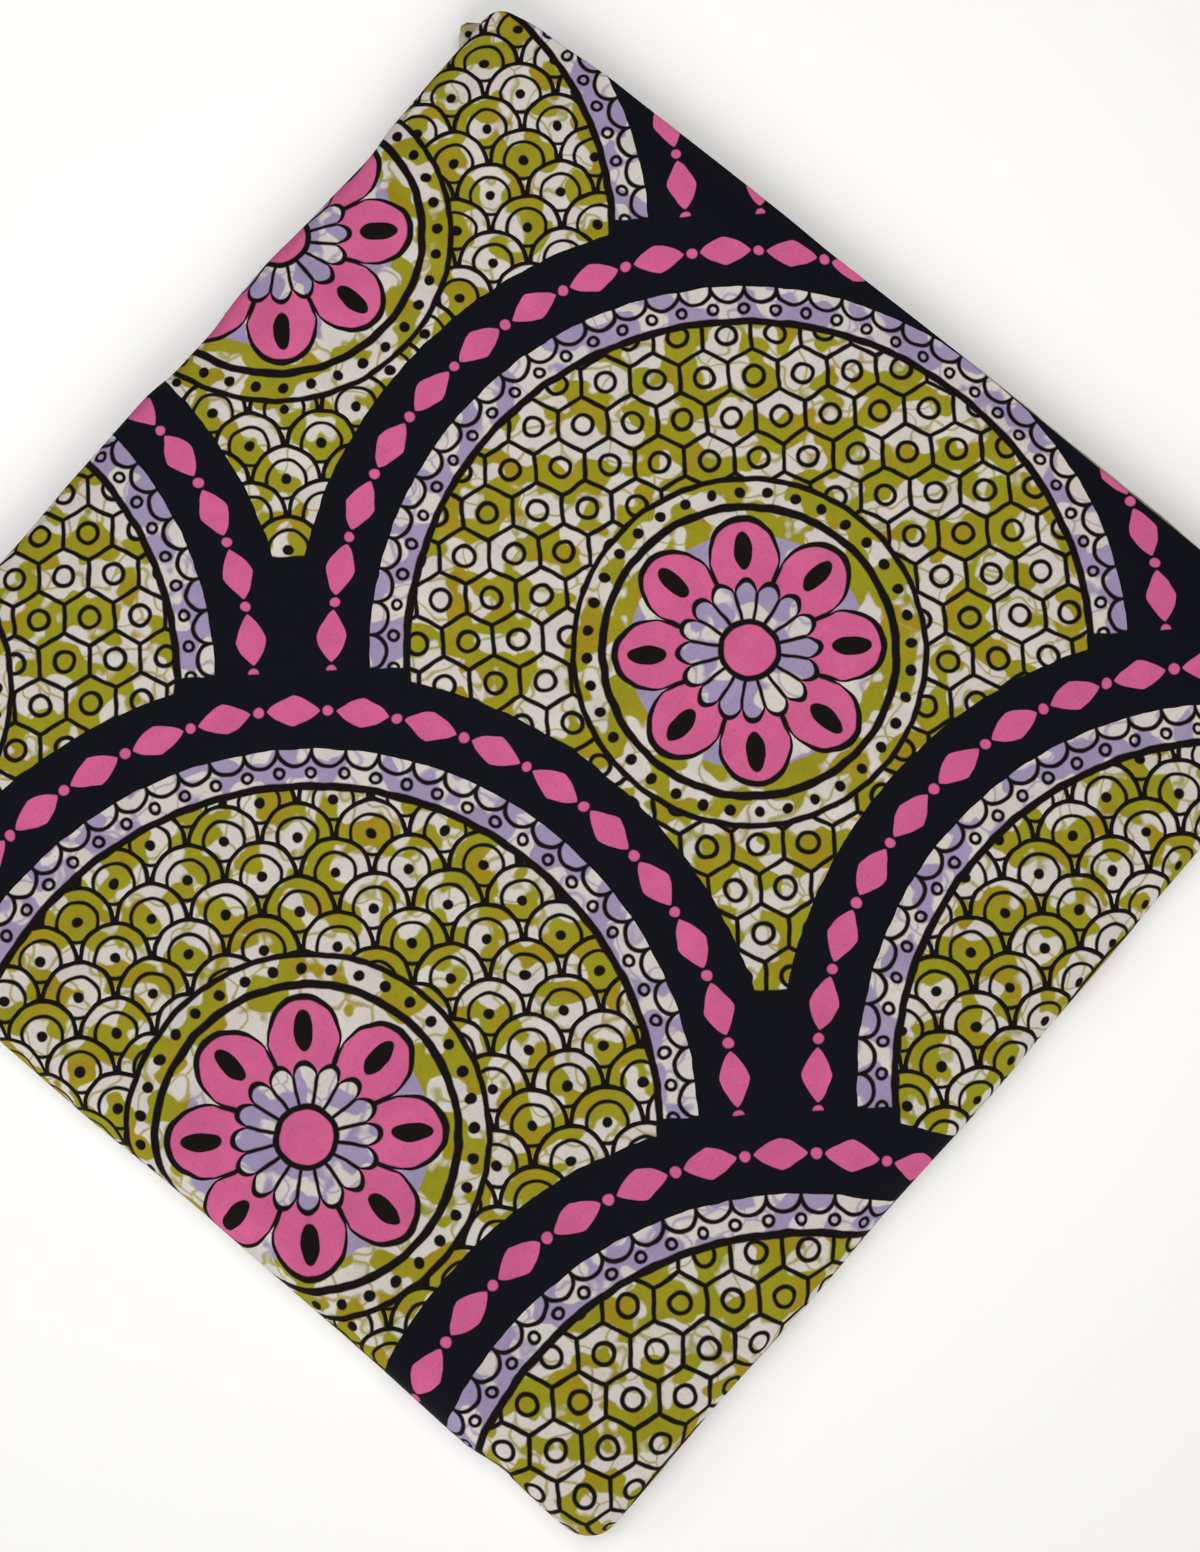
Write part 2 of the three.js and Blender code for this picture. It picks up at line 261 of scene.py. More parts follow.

# %% [markdown]
# ## Creases
#
# Pressed cotton that has been folded and carried shows few and shallow marks: a short
# pull here and there near the folds, where the plies inside take up the slack, and one or
# two long soft bends across the face. Each is placed in a table, as a trough or a
# ridge with its own length, width and lean, and is added along the surface's normal. The
# places are on the flat cloth, so that a crease may also run over the spine, where v is
# about -155, or on the face below, where v is less than -170.

# %% Table of creases
CREASES = [  # u, v, lean in degrees, length, width, height, bend
    (-96, -118, 64, 46, 5.0, -0.28, 5), (-58, -126, 81, 30, 3.8, -0.22, -3),
    (-12, -121, 97, 38, 5.5, -0.25, 4), (38, -128, 84, 24, 3.2, -0.20, 2),
    (71, -116, 108, 52, 6.0, -0.30, -6), (107, -134, 96, 30, 3.4, -0.42, 3),
    (124, -122, 128, 34, 4.2, -0.26, 4), (118, -62, 12, 36, 4.6, -0.24, 5),
    (126, -8, -6, 26, 3.6, -0.18, -3), (119, 47, 9, 42, 5.2, -0.26, 4),
    (124, 98, -14, 30, 4.0, -0.22, 3), (-124, 61, 8, 34, 4.4, -0.24, -4),
    (-118, 101, -11, 40, 4.8, -0.28, 4), (-127, -40, 4, 26, 3.4, -0.18, 3),
    (-40, 62, 33, 150, 11.0, 0.26, 12), (46, -22, 58, 120, 12.0, -0.22, -10),
    (-78, -30, 121, 96, 9.0, 0.20, 8), (62, 112, 171, 84, 6.5, -0.22, -5),
    (-62, 136, 4, 70, 4.6, 0.22, 4), (-104, 132, 52, 38, 4.4, -0.26, -4),
    (-70, -158, 2, 90, 2.4, -0.30, 2), (34, -152, -3, 120, 2.8, -0.26, -2),
    (98, -160, 4, 60, 2.2, -0.34, 2), (-112, -163, -2, 50, 2.4, -0.24, 1),
    (-60, -230, 70, 90, 8.0, -0.25, 8), (40, -300, 25, 130, 9.0, -0.25, -9),
    (70, -210, 95, 50, 5.0, -0.22, 4), (-20, -400, 160, 110, 8.0, -0.24, 7)]
WAVES = [(61, 0.5), (23, 0.3), (9.1, 0.16), (4.3, 0.08)]    # length and size of each


def relief(u, v):
    """Height of the creases at places on the flat cloth."""
    height = np.zeros(np.broadcast(u, v).shape)
    for cu, cv, lean, length, width, rise, bend in CREASES:
        c, s = math.cos(math.radians(lean)), math.sin(math.radians(lean))
        run = (u - cu) * c + (v - cv) * s
        side = (v - cv) * c - (u - cu) * s + bend * (2 * run / length) ** 2 / 4
        height += rise * np.exp(-(side / width) ** 2 - (2 * run / length) ** 4)
    return height


def waver(t, seed):
    """An uneven run of about -1 to 1 along a length in millimetres."""
    rng = np.random.default_rng(seed)
    return sum(size * np.sin(2 * np.pi * (t / length + rng.random()))
               for length, size in WAVES)


print(len(CREASES), "creases, deepest", min(crease[5] for crease in CREASES), "mm")

# %% [markdown]
# ## The outer leaf
#
# The last stretch of the roll starts with its cut edge half way down the left end, runs
# over the face, round the right end and back along the crease between the halves, and
# passes under its own start. Swept along the book fold it gives the face, the spine, the
# ends and the face below in one sheet, which is why a single grid is used: nothing has to
# be matched at the folds, and the print cannot slip. The cut edge wavers a little.

# %% Sections of the roll
CLOTH = 0.5                               # two plies pressed together
LAP_STEP, LAP_REACH = 0.75, 0.13          # how far the lapped edge lies in, and from where
CUT_ANGLE, LAP_ANGLE = 192.0, 160.0
FOLD = 1.4                                # the tight turn at the right end
ROUND_CENTRE = END_RADIUS - FOLD - math.sqrt(
    (SPINE_RADIUS - FOLD) ** 2 - (MID_RADIUS - END_RADIUS + FOLD) ** 2)


def part(across, off, out, base=0, extra=0):
    """Points of a section: across, off and out, and base and extra for flat_u."""
    return np.stack(np.broadcast_arrays(across, off, out, base, extra), -1).astype(float)


def left_end(radius, start, end, steps, base, extra, way):
    """Points round the left end, with their run along the cloth counted from start."""
    angle = np.radians(np.linspace(start, end, steps + 1))
    run = np.abs(angle - angle[0]) * radius
    return part(0, radius * np.cos(angle), radius * np.sin(angle), base, extra + way * run)


def right_end(wide_steps, tight_steps, depth=0, fold=FOLD):
    """The right end inside the surface: a wide curve, then a tight one to the crease."""
    wide = SPINE_RADIUS - depth
    rise = MID_RADIUS - END_RADIUS + depth + fold
    reach = math.sqrt((wide - fold) ** 2 - rise ** 2)
    meet = math.atan2(rise, reach)
    angle = np.linspace(math.pi / 2, meet, wide_steps + 1)
    run = (math.pi / 2 - angle) * wide
    curve = part(1, ROUND_CENTRE + wide * np.cos(angle), wide * np.sin(angle) - MID_RADIUS,
                 1, ROUND_CENTRE + run)
    angle = np.linspace(meet, -math.pi / 2, tight_steps + 1)[1:]
    turn_in = part(1, ROUND_CENTRE + reach + fold * np.cos(angle),
                   rise - MID_RADIUS + fold * np.sin(angle),
                   1, ROUND_CENTRE + run[-1] + (meet - angle) * fold)
    return curve, turn_in


def top_run(radius, steps):
    t = spread(steps)[1:-1]
    return part(t, t * ROUND_CENTRE, radius, t, t * ROUND_CENTRE)


def crease_run(radius, lapped, steps, last):
    """The way back along the crease, which drops at the left under the roll's start."""
    t = 1 - spread(steps)[1:-1]
    height = lapped + (radius - lapped) * smooth(t, 0, LAP_REACH)
    return part(t, t * last[1], -height, 2 - t, last[4] + (1 - t) * last[1])


round_end = right_end(22, 9)[1][-1][4] - ROUND_CENTRE
print(f"the cloth runs {round_end:.1f} mm round the right end")

# %% Lay out the outer leaf
DRAWN_IN, DRAWN_FROM = 0.5, -45           # the fold over the selvedge lies further in
CUT_WAVER, CUT_COLUMNS = 9, 10            # degrees, and steps round the cut end


def outer_section():
    lapped = END_RADIUS - LAP_STEP
    curve, turn_in = right_end(22, 9)
    last = turn_in[-1]
    start = left_end(END_RADIUS, 90, CUT_ANGLE, CUT_COLUMNS, 0, 0, -1)[::-1]
    tuck = left_end(lapped, 270, LAP_ANGLE, 8, 2, last[4] + last[1], 1)
    return np.concatenate([start, top_run(END_RADIUS, 108), curve, turn_in,
                           crease_run(END_RADIUS, lapped, 28, last), tuck])


across, off, out, base, extra = outer_section().T
share, turn = book_stops(upper=112, spine=24, lower=46)
off, out, extra = (np.tile(column, (len(share), 1)) for column in (off, out, extra))
_, cut_v = place(across[:1], off[:, :1], out[:, :1], share, turn)
cut_angle = np.radians(CUT_ANGLE - 90 + CUT_WAVER * waver(cut_v[:, 0], seed=3))
for column, portion in enumerate(np.linspace(1, 0, CUT_COLUMNS + 1)):
    angle = math.pi / 2 + cut_angle * portion
    off[:, column], out[:, column] = END_RADIUS * np.cos(angle), END_RADIUS * np.sin(angle)
    extra[:, column] = -cut_angle * portion * END_RADIUS

leaf_points, leaf_v = place(across, off, out, share, turn)
leaf_points[..., 1] -= (DRAWN_IN * smooth(leaf_points[..., 0], DRAWN_FROM, DRAWN_FROM + 20)
                        * smooth(share, 0.96, 1) * (turn < 1))
leaf_u = flat_u(base, extra, leaf_points[..., 1])
CUT_V = np.median(leaf_v[-1])             # the lower open edge on the flat cloth
print("grid of the leaf:", leaf_u.shape, "lower edge at", CUT_V.round(1), "mm")

# %% Crease the outer leaf and give it its thickness
outwards = np.sign(grid_normals(leaf_points)[10, 60, 2])
raised = leaf_points + (outwards * grid_normals(leaf_points)
                        * relief(leaf_u, leaf_v)[..., None])
raised[..., 2] = np.maximum(raised[..., 2], 0)
leaf_normals = outwards * grid_normals(raised)

# The back of the upper half is a fold, so its rim is round. The lower rim is cut.
RIM_OUT, RIM_IN, RIM_CLOTH = 0.2, 0.14, 0.25
rim = raised[0] + [0, RIM_OUT, 0]
outer_grid = np.concatenate([(rim - RIM_IN * leaf_normals[0])[None], raised])
inner_grid = np.concatenate([(rim - (CLOTH - RIM_IN) * leaf_normals[0])[None],
                             raised - CLOTH * leaf_normals])
leaf_uv = np.stack([leaf_u, leaf_v], -1)
leaf_uv = np.concatenate([leaf_uv[:1] + [0, RIM_CLOTH], leaf_uv]).reshape(-1, 2)

cad_low, cad_high = (np.array(c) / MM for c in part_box("outer_leaf"))
own_low, own_high = raised.min((0, 1)), raised.max((0, 1))
SHIFT = np.array([*((cad_low + cad_high - own_low - own_high) / 2)[:2], 0])
print("form moved by", SHIFT.round(2), "own size", (own_high - own_low).round(1))
outer_leaf = mesh_object(
    "outer_cloth",
    np.concatenate([outer_grid.reshape(-1, 3), inner_grid.reshape(-1, 3)]) + SHIFT,
    shell_faces(*outer_grid.shape[:2]), np.concatenate([leaf_uv, leaf_uv]))

# %% [markdown]
# ## Nodes as expressions
#
# The print takes a few hundred arithmetic nodes. Written as nodes and links they would be
# unreadable, so a small class wraps a socket and turns Python's operators into Math
# nodes: `1 - mask` or `a * a + b` then read like the formula they are. All other nodes
# come from one method, `node`, which takes the type, its settings and its inputs. The
# same class serves the geometry nodes further down.

# %% A number in a node tree
class Value:
    """A number in a node tree. Operators on it add Math nodes to its tree."""

    def __init__(self, net, socket):
        self.net, self.socket = net, socket

    def __abs__(self):
        return self.net.math("ABSOLUTE", self)


OPERATORS = {"add": "ADD", "sub": "SUBTRACT", "mul": "MULTIPLY", "truediv": "DIVIDE",
             "pow": "POWER", "mod": "FLOORED_MODULO", "lt": "LESS_THAN",
             "gt": "GREATER_THAN"}
for symbol, operation in OPERATORS.items():
    setattr(Value, f"__{symbol}__",
            lambda self, other, name=operation: self.net.math(name, self, other))
    setattr(Value, f"__r{symbol}__",
            lambda self, other, name=operation: self.net.math(name, other, self))
print("operators on a node's number:", *OPERATORS)


# %% A node tree that is written as expressions
class Net:
    """A node tree that is written as expressions."""

    def __init__(self, tree):
        self.tree = tree

    def node(self, kind, settings=None, *terms, **inputs):
        """A node with its settings and inputs; a name with _ stands for one with spaces."""
        made = self.tree.nodes.new(kind)
        for key, value in (settings or {}).items():
            setattr(made, key, value)
        for socket, term in zip(made.inputs, terms):
            self.feed(socket, term)
        for key, value in inputs.items():
            place_of = int(key[1:]) if key[1:].isdigit() else key.replace("_", " ")
            self.feed(made.inputs[place_of], value)
        return made

    def feed(self, socket, value):
        if isinstance(value, Value):
            value = value.socket
        if isinstance(value, bpy.types.NodeSocket):
            self.tree.links.new(value, socket)
        else:
            socket.default_value = value

    def math(self, operation, *terms, clamp=False):
        settings = {"operation": operation, "use_clamp": clamp}
        return Value(self, self.node("ShaderNodeMath", settings, *terms).outputs[0])

    def vector(self, operation, *terms, **inputs):
        """Vector maths: a length, a distance or a dot product is a value."""
        made = self.node("ShaderNodeVectorMath", {"operation": operation}, *terms, **inputs)
        if operation in ("LENGTH", "DISTANCE", "DOT_PRODUCT"):
            return Value(self, made.outputs["Value"])
        return made.outputs["Vector"]

    def parts(self, vector):
        """A vector's x, y and z as values."""
        made = self.node("ShaderNodeSeparateXYZ", Vector=vector)
        return [Value(self, socket) for socket in made.outputs]

    def xyz(self, x=0.0, y=0.0, z=0.0):
        return self.node("ShaderNodeCombineXYZ", X=x, Y=y, Z=z).outputs[0]

    def below(self, value, edge, soft):
        """1 where value is under edge, with a soft step about soft wide."""
        if isinstance(edge, Value):
            return self.math("MULTIPLY_ADD", edge - value, 1 / soft, 0.5, clamp=True)
        return self.math("MULTIPLY_ADD", value, -1 / soft, 0.5 + edge / soft, clamp=True)

    def most(self, *values):
        result = values[0]
        for value in values[1:]:
            result = self.math("MAXIMUM", result, value)
        return result

    def tint(self, under, over, mask):
        """A colour laid over another where the mask is 1."""
        made = self.node("ShaderNodeMix", {"data_type": "RGBA"}, _0=mask, _6=under, _7=over)
        return made.outputs[2]

    def wander(self, vector, scale, detail=0.0, roughness=0.5, dimensions="2D",
               output="Color"):
        """A soft random vector with parts from 0 to 1."""
        return self.node("ShaderNodeTexNoise", {"noise_dimensions": dimensions},
                         Vector=vector, Scale=scale, Detail=detail,
                         Roughness=roughness).outputs[output]

    def noise(self, *of, **more):
        """A soft random value from 0 to 1."""
        return Value(self, self.wander(*of, **more, output="Fac"))


print("a net offers:", *(name for name in vars(Net) if not name.startswith("_")))

# %% [markdown]
# ## The print
#
# Wax prints are dyed in steps. Resin keeps the dye off the cloth, and where it has
# cracked or bubbled the ground shows through as pale spots and veins. Then the key
# lines are printed in near black, a little off the dyed shapes. The design here is a
# plain one of the kind sold everywhere: big overlapping scales with a dark band round
# each, a lozenge chain on the band, a scalloped border inside it, a small repeat that
# fills the scale and a round flower in its middle. Everything is worked out from
# distances, so that the lines stay sharp at any size, and each layer is laid over the
# last as soon as it is known.

# %% Colours and sizes of the print
def ink(red, green, blue):
    """A colour as seen, 0 to 255, in the linear values that nodes take."""
    def linear(c):
        c /= 255
        return c / 12.92 if c <= 0.04045 else ((c + 0.055) / 1.055) ** 2.4
    return (linear(red), linear(green), linear(blue), 1.0)


OLIVE, OCHRE, CREAM = ink(146, 141, 31), ink(160, 126, 28), ink(206, 199, 192)
PINK, LILAC = ink(203, 94, 140), ink(154, 141, 174)
NAVY, KEY = ink(11, 12, 20), ink(17, 12, 11)
SOFT, CRISP = 0.35, 0.1                   # soft edges of key lines and of dyes, in mm
SCALE_RADIUS = 118.0
BAND, BORDER = 20.0, 9.6
FILLED = SCALE_RADIUS - BAND - BORDER     # radius of the part that a filling covers
FLOWER, LILAC_DISC, BEADED = 38.0, 31.0, 7.6
DESIGN_LEAN, DESIGN_PLACE = -43.0, (64.0, 96.0, 0.0)
HAND_SHAKE = 0.9                          # how far the lines stray, in mm
MARGIN = 8.0                              # unprinted, beside the lower open edge
print(f"scales {2 * SCALE_RADIUS:.0f} mm wide, filled {FILLED:.1f} mm from their centres")


# %% Where a place lies in the design
def scales(net, a, b, radius):
    """The nearest of a field of overlapping scales: x and y in it, and its row's parity."""
    wide, up = a / radius, b / radius
    row = net.math("FLOOR", up)
    odd = row % 2
    front = (wide + odd + 1) % 2 - 1
    behind = (wide + odd) % 2 - 1
    rise = up - row
    in_front = (front * front + rise * rise) < 1
    x = behind + (front - behind) * in_front
    return x * radius, (rise + in_front - 1) * radius, 1 - abs(odd - in_front)


def distance(net, x, y):
    return net.math("SQRT", x * x + y * y)


def around(net, angle, count):
    """Folds an angle into count equal parts: -0.5 to 0.5 in each."""
    turns = angle * (count / (2 * math.pi)) + 0.5
    return net.math("FRACT", turns) - 0.5


def stroke(net, off_line, half_width):
    """A key line where off_line is near 0."""
    return net.below(abs(off_line), half_width, SOFT)


print("rows of scales every", SCALE_RADIUS, "mm, each shifted by half a scale")


# %% The dyed ground
def dyed_ground(net, plan, r):
    """Dye with pale spots where the resin held, and dyed veins across the spots."""
    bent = net.vector("MULTIPLY_ADD", net.wander(plan, 0.09, 1.0), (16, 16, 0), plan)
    veins = Value(net, net.node("ShaderNodeTexVoronoi", {
        "voronoi_dimensions": "2D", "feature": "DISTANCE_TO_EDGE"}, Vector=bent,
        Scale=0.09).outputs["Distance"])
    pale = (net.below(net.noise(plan, 0.1, 1.4), 0.497, 0.035)
            * (1 - 0.8 * net.below(veins, 0.04, 0.06)))
    strong = net.below(net.noise(plan, 0.085, 3.0), 0.43, 0.18)
    lilac = net.most(net.below(r, LILAC_DISC, CRISP), r > FILLED)
    dye = net.tint(net.tint(OLIVE, OCHRE, strong * 0.55), LILAC, lilac)
    return net.tint(dye, CREAM, pale)


print("lilac inside", LILAC_DISC, "and outside", FILLED, "mm, olive and ochre between")


# %% The two fillings
SMALL_SCALE, SMALL_ARC, SMALL_DOT = 9.4, 5.2, 1.4
CELL, CELL_RING = 13.0, 2.8


def small_scales(net, a, b):
    """Small scales, each with an arc and a dot."""
    x, y, _ = scales(net, a, b, SMALL_SCALE)
    r = distance(net, x, y)
    return net.most(net.below(SMALL_SCALE - r, 1.2, SOFT), net.below(r, SMALL_DOT, SOFT),
                    stroke(net, r - SMALL_ARC, 0.5))


def honeycomb(net, spot):
    """A honeycomb with a ring in each cell, from the nearer of two grids of centres."""
    half = (CELL / 2, CELL * math.sqrt(3) / 2, 0)
    near = []
    for shift in ((0, 0, 0), half):
        centred = net.vector("WRAP", net.vector("SUBTRACT", spot, shift), half,
                             (-half[0], -half[1], -1))
        near.append((centred, net.vector("LENGTH", centred)))
    (first, first_r), (second, second_r) = near
    nearest = net.node("ShaderNodeMix", {"data_type": "VECTOR"}, _0=second_r < first_r,
                       _4=first, _5=second).outputs[1]
    nearest = net.vector("ABSOLUTE", nearest)
    leaning = net.vector("DOT_PRODUCT", nearest, (0.5, math.sqrt(3) / 2, 0))
    to_wall = CELL / 2 - net.most(leaning, net.parts(nearest)[0])
    ring = net.math("MINIMUM", first_r, second_r) - CELL_RING
    return net.most(net.below(to_wall, 0.62, SOFT), stroke(net, ring, 0.56))


print("small scales every", 2 * SMALL_SCALE, "mm, honeycomb cells every", CELL, "mm")


# %% The border and the chain on the band
SCALLOPS, SCALLOP, RINGLET = 70, 4.3, 1.25
LINKS, LOZENGE_LONG, LOZENGE_WIDE, BEAD_SPOT = 38, 6.8, 3.9, 1.35


def border_lines(net, r, angle):
    """Scallops and small rings, and the line inside them."""
    pitch = 2 * math.pi * (FILLED + 5) / SCALLOPS
    fold, up = around(net, angle, SCALLOPS), r - (FILLED + BORDER)
    scallop = stroke(net, distance(net, fold * pitch, up) - SCALLOP, 0.58)
    ring = stroke(net, distance(net, (0.5 - abs(fold)) * pitch, up + 6.1) - RINGLET, 0.5)
    return net.most(net.most(scallop, ring) * (r > FILLED), stroke(net, r - FILLED, 1.05))


def chain(net, r, angle):
    """Lozenges and beads in turn along the middle of the band."""
    middle = SCALE_RADIUS - BAND / 2
    pitch = 2 * math.pi * middle / LINKS
    p, q = abs(around(net, angle, LINKS)) * pitch, abs(r - middle)
    lozenge = net.below((p / LOZENGE_LONG) ** 1.3 + (q / LOZENGE_WIDE) ** 1.3, 1.0, 0.06)
    bead = net.below(distance(net, 0.5 * pitch - p, q), BEAD_SPOT, SOFT)
    return net.most(lozenge, bead)


print("round each scale:", SCALLOPS, "scallops and", LINKS, "links")


# %% The flower
BIG_PETALS, BIG_LOW, BIG_BULGE = 8, 22, 13
SMALL_PETALS, SMALL_LOW, SMALL_BULGE = 16, 14.5, 4
HEART = 7.5
SEED_AT, SEED_RADIUS, SEED_NARROW = 26.5, 5.2, 2.2
FLOWER_BEADS, BEAD_PITCH, BEAD_RADIUS = 36, 7.7, 1.5


def petals_of(net, angle, count, low, bulge):
    """Where in its petal an angle lies, -0.5 to 0.5, and how far out the petal reaches."""
    turn = around(net, angle, count)
    return turn, low + bulge * net.math("COSINE", turn * math.pi) ** 0.6


def flower(net, r, angle):
    """Its pink parts, and its key lines: big petals round small ones, in a beaded ring."""
    big, big_edge = petals_of(net, angle, BIG_PETALS, BIG_LOW, BIG_BULGE)
    small, small_edge = petals_of(net, angle, SMALL_PETALS, SMALL_LOW, SMALL_BULGE)
    big_across = r * (2 * math.pi / BIG_PETALS)
    small_across = r * (2 * math.pi / SMALL_PETALS)
    in_small, heart = net.below(r, small_edge, SOFT), net.below(r, HEART, SOFT)
    petals = net.below(r, big_edge, SOFT) * (1 - in_small)
    seed = distance(net, big * big_across * SEED_NARROW, r - SEED_AT)
    bead = distance(net, around(net, angle, FLOWER_BEADS) * BEAD_PITCH,
                    r - (FLOWER + 4))
    return net.most(petals, heart), net.most(
        stroke(net, r - big_edge, 0.9), stroke(net, r - small_edge, 0.75),
        net.below((0.5 - abs(big)) * big_across, 0.7, SOFT) * petals,
        net.below((0.5 - abs(small)) * small_across, 0.5, SOFT) * in_small * (1 - heart),
        stroke(net, r - HEART, 0.8), stroke(net, r - FLOWER, 1.1),
        net.below(seed, SEED_RADIUS, SOFT), net.below(bead, BEAD_RADIUS, SOFT),
        stroke(net, r - (FLOWER + BEADED), 0.8))


print("the flower has", BIG_PETALS, "petals and is", 2 * (FLOWER + BEADED), "mm wide")


# %% The whole print, layer by layer
def wax_print(net, uv):
    """Colour of the print and how much of it is dark, from the flat cloth's place."""
    plan = net.node("ShaderNodeMapping", {"vector_type": "POINT"}, Vector=uv,
                    Location=DESIGN_PLACE, Rotation=(0, 0, math.radians(DESIGN_LEAN)),
                    Scale=(1 / MM, 1 / MM, 1 / MM)).outputs[0]
    shaken = net.vector("MULTIPLY_ADD", net.wander(plan, 0.16, 1.0),
                        (HAND_SHAKE, HAND_SHAKE, 0), plan)
    a, b, _ = net.parts(shaken)
    x, y, odd = scales(net, a, b, SCALE_RADIUS)
    r, angle = distance(net, x, y), net.math("ARCTAN2", x, y)

    small, comb = small_scales(net, a, b), honeycomb(net, shaken)
    filling = (small + (comb - small) * odd) * net.below(r, FILLED, CRISP)
    pink, flower_lines = flower(net, r, angle)
    lines = net.most(filling, border_lines(net, r, angle))
    lines = net.most(lines * (1 - net.below(r, FLOWER + BEADED, CRISP)), flower_lines)

    tip = net.below(y, 0.0, SOFT) * (r > FILLED)     # the tip of a scale is all dark
    in_band = net.most(r > SCALE_RADIUS - BAND, tip)
    links = chain(net, r, angle) * in_band * (1 - tip)
    specks = net.below(net.noise(plan, 1.1, 2.0), 0.3, 0.08)
    margin = net.below(net.parts(uv)[1] / MM, CUT_V + MARGIN, 0.6)

    colour = dyed_ground(net, plan, r)
    for over, mask in ((PINK, pink), (KEY, lines), (NAVY, in_band), (PINK, links),
                       (KEY, specks * 0.2), (CREAM, margin)):
        colour = net.tint(colour, over, mask)
    return colour, net.most(lines * (1 - in_band), in_band - links) * (1 - margin)


print("the print ends at", (CUT_V + MARGIN).round(1), "mm on the flat cloth")

# %% [markdown]
# ## The finish of printed cotton
#
# Under the print is a plain weave of fine threads that are never quite even. Two stretched
# noises, one along each set of threads, give that grain without the false stripes that a
# regular grid makes when it is smaller than a pixel. It moves the colour a little and
# raises a bump. A broader noise gives the cockle of pressed cotton. Roughness drops
# slightly on the dark print, where the dye and resin left the cloth smoother, and a
# little sheen lifts the cloth where it turns away at the folds.

# %% Build the cloth materials
THREAD_ALONG, THREAD_ACROSS = 110, 2600   # the grain's scale in each way of the weave
SHEEN, SHEEN_SPREAD, SHINE = 0.01, 0.4, 0.08
# A near-black spot laid on the leaf's turned corner, in the key lines' colour.
DARK_SPOT, SPOT_RADIUS = (-0.1436, 0.1362, 0), 1.1     # on the leaf's turned corner


def weave(net, uv):
    """Threads both ways: a number from about 0 to 1, from the flat cloth's place."""
    warp, weft = (
        net.noise(net.node("ShaderNodeMapping", Vector=uv, Scale=scale).outputs[0], 1, 1)
        for scale in ((THREAD_ACROSS, THREAD_ALONG, 1), (THREAD_ALONG, THREAD_ACROSS, 1)))
    return (warp + weft) * 0.5


def finish(net, colour, height, rough):
    """Joins a colour, a height in millimetres and a roughness to the surface."""
    bump = net.node("ShaderNodeBump", Strength=1.0, Distance=MM, Height=height)
    shader = net.node("ShaderNodeBsdfPrincipled", Base_Color=colour, Roughness=rough,
                      Normal=bump.outputs[0], Sheen_Weight=SHEEN,
                      Sheen_Roughness=SHEEN_SPREAD, Specular_IOR_Level=SHINE)
    net.node("ShaderNodeOutputMaterial", Surface=shader.outputs[0])


def new_net(name):
    material = bpy.data.materials.new(name)
    material.use_nodes = True
    material.node_tree.nodes.clear()
    return material, Net(material.node_tree)


def printed_cotton():
    material, net = new_net("wax_print_cotton")
    uv = net.node("ShaderNodeUVMap", {"uv_map": UV_NAME}).outputs[0]
    colour, dark = wax_print(net, uv)
    grain = weave(net, uv)
    patch, cockle = net.noise(uv, 95, 4.0, 0.6), net.noise(uv, 75, 1.0)
    colour = net.vector("SCALE", colour, Scale=0.72 + 0.2 * grain + 0.34 * patch)
    finish(net, colour, 0.05 * grain + 0.25 * cockle, 0.86 - 0.12 * dark)
    return material


def plain_cotton():
    material, net = new_net("selvedge_cotton")
    uv = net.node("ShaderNodeUVMap", {"uv_map": UV_NAME}).outputs[0]
    grain = weave(net, uv)
    aged = net.below(net.noise(uv, 90, 2.0), 0.4, 0.1)
    colour = net.tint(ink(206, 194, 178), ink(168, 156, 112), aged)
    # The near-black spot on the turned corner of the leaf, in the key lines' colour.
    from_spot = net.vector("DISTANCE", uv, DARK_SPOT) * (1 / MM)
    colour = net.tint(colour, KEY, net.below(from_spot, SPOT_RADIUS, 0.4))
    colour = net.vector("SCALE", colour, Scale=0.88 + 0.2 * grain)
    finish(net, colour, 0.06 * grain, 0.9)
    return material


PRINT, SELVEDGE = printed_cotton(), plain_cotton()
outer_leaf.data.materials.append(PRINT)
print("print nodes:", len(PRINT.node_tree.nodes))

# %% [markdown]
# ## The plies at the open side
#
# At the back the roll shows what it is made of. The cloth was doubled across its width
# before it was rolled, so one half of the book shows the folds of the doubled plies, as
# round beads, and the other half shows the selvedges, as thin cut-like edges. One ply is
# modelled as a flat ring that follows the section of the roll. Geometry Nodes then make
# the ring's copies, one inside the other: every point carries a small vector, `to_next`,
# which says where the same point of the next ply lies. A little noise along the run makes
# the rims uneven, and the print is slipped along for each ply.

# %% The section of the hidden plies
STACK_DEPTH = CLOTH + 0.06                # from the outer surface to the first hidden ply
STACK_FOLD = 0.8
MIDDLE_OFF = 0.6                          # how far the middle line reaches at the right


def stack_section():
    """A closed loop of section points and, for each, the point of the middle line."""
    radius = END_RADIUS - STACK_DEPTH
    low = radius - LAP_STEP
    curve, turn_in = right_end(7, 8, STACK_DEPTH, STACK_FOLD)
    loop = np.concatenate([
        left_end(radius, 180, 90, 6, 0, 0, -1), top_run(radius, 34), curve, turn_in,
        crease_run(radius, low, 34, turn_in[-1]),
        left_end(low, 270, 196, 6, 2, turn_in[-1][4], 1)])
    middle = loop.copy()
    middle[:, 1] = np.clip(loop[:, 1], ROUND_CENTRE, MIDDLE_OFF)
    middle[loop[:, 0] < 0.001, 1] = 0
    middle[:, 2] = 0
    return loop, middle


